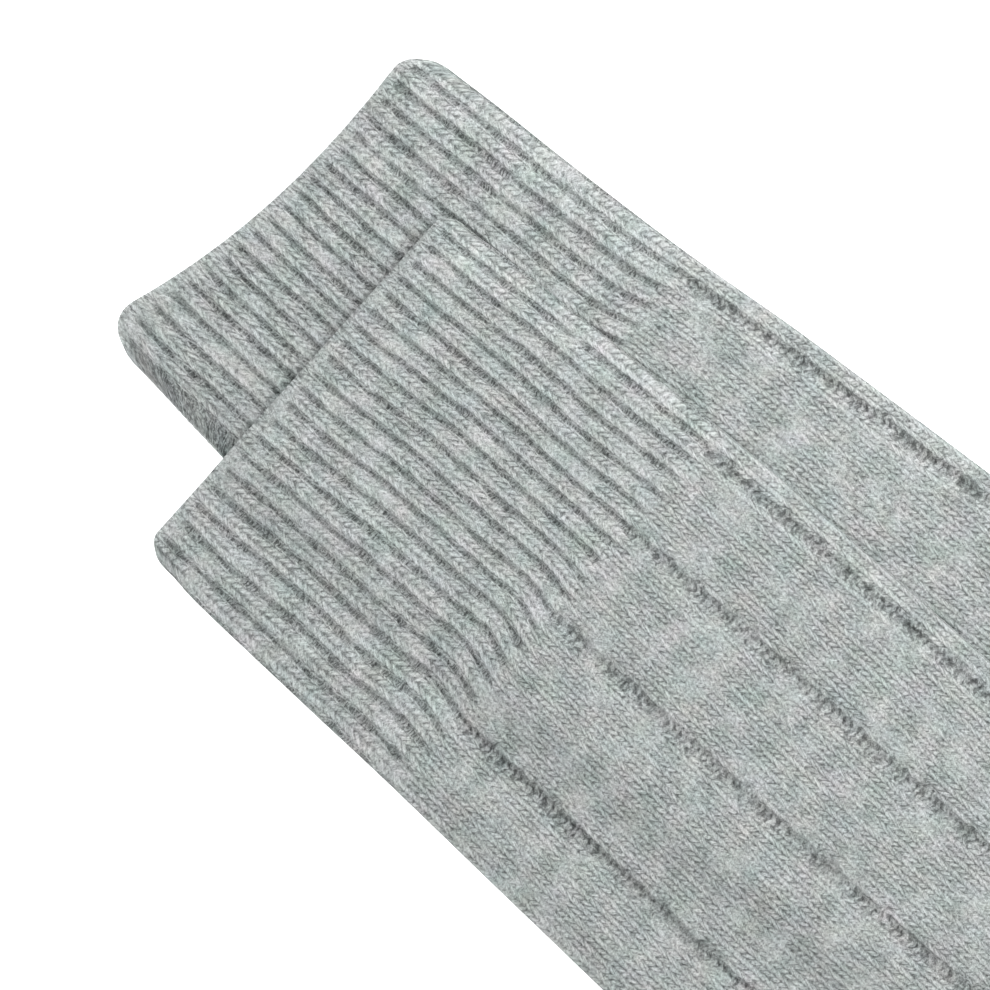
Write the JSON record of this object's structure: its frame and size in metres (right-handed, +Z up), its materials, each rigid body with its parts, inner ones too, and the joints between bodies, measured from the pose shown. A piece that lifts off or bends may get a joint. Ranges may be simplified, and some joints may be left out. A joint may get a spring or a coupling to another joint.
{
  "type": "pair of ribbed socks",
  "caption": "Ribbed knitted socks laid flat as an overlapping pair, with close-ribbed cuffs, broad ribs down the leg, turned heels and rounded toes.",
  "frame": {"origin": "middle of the pair's bounding box, on the surface the socks lie on", "axes": "+Y up the legs towards the cuffs, +X across the legs from the heel side to the toes, +Z up from the surface"},
  "size_m": [0.275, 0.3704, 0.0103],
  "materials": {
    "wool_knit": "soft marled grey-green wool knit, matte with a light nap"
  },
  "bodies": {
    "root": {"under_sock": "wool_knit", "upper_sock": "wool_knit"}
  },
  "joints": []
}
